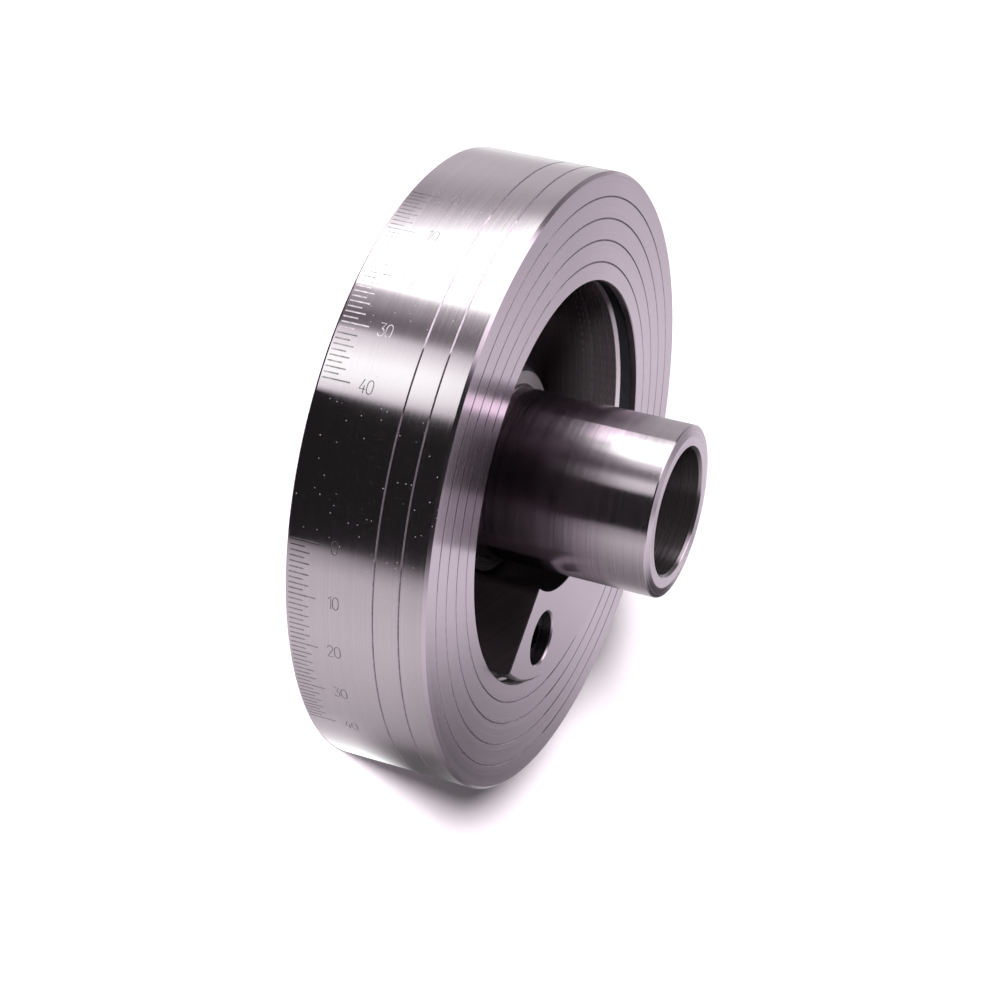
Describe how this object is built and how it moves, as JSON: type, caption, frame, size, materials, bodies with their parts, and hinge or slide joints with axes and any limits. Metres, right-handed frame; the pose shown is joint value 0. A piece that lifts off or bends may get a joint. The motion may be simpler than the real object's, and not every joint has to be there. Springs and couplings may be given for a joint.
{
  "type": "harmonic balancer",
  "caption": "Crankshaft harmonic balancer: steel inertia ring on rubber round a hub with a long snout, a bolt-in counterweight and engraved timing scales.",
  "frame": {"origin": "centre of the inertia ring's front face, on the crank axis", "axes": "+Z along the crank axis out through the snout; +X through the zero line of the first timing scale, opposite the counterweight"},
  "size_m": [0.1714, 0.1714, 0.0732],
  "materials": {
    "ring_steel": "fine turned steel, bare",
    "rubber": "matt black rubber",
    "hub_steel": "fine turned steel, bare",
    "weight_steel": "ground steel, bare",
    "screw_steel": "black oxide steel"
  },
  "bodies": {
    "root": {"inertia_ring": "ring_steel", "elastomer_ring": "rubber", "hub": "hub_steel", "counterweight": "weight_steel", "counterweight_screw_1": "screw_steel", "counterweight_screw_2": "screw_steel"}
  },
  "joints": []
}
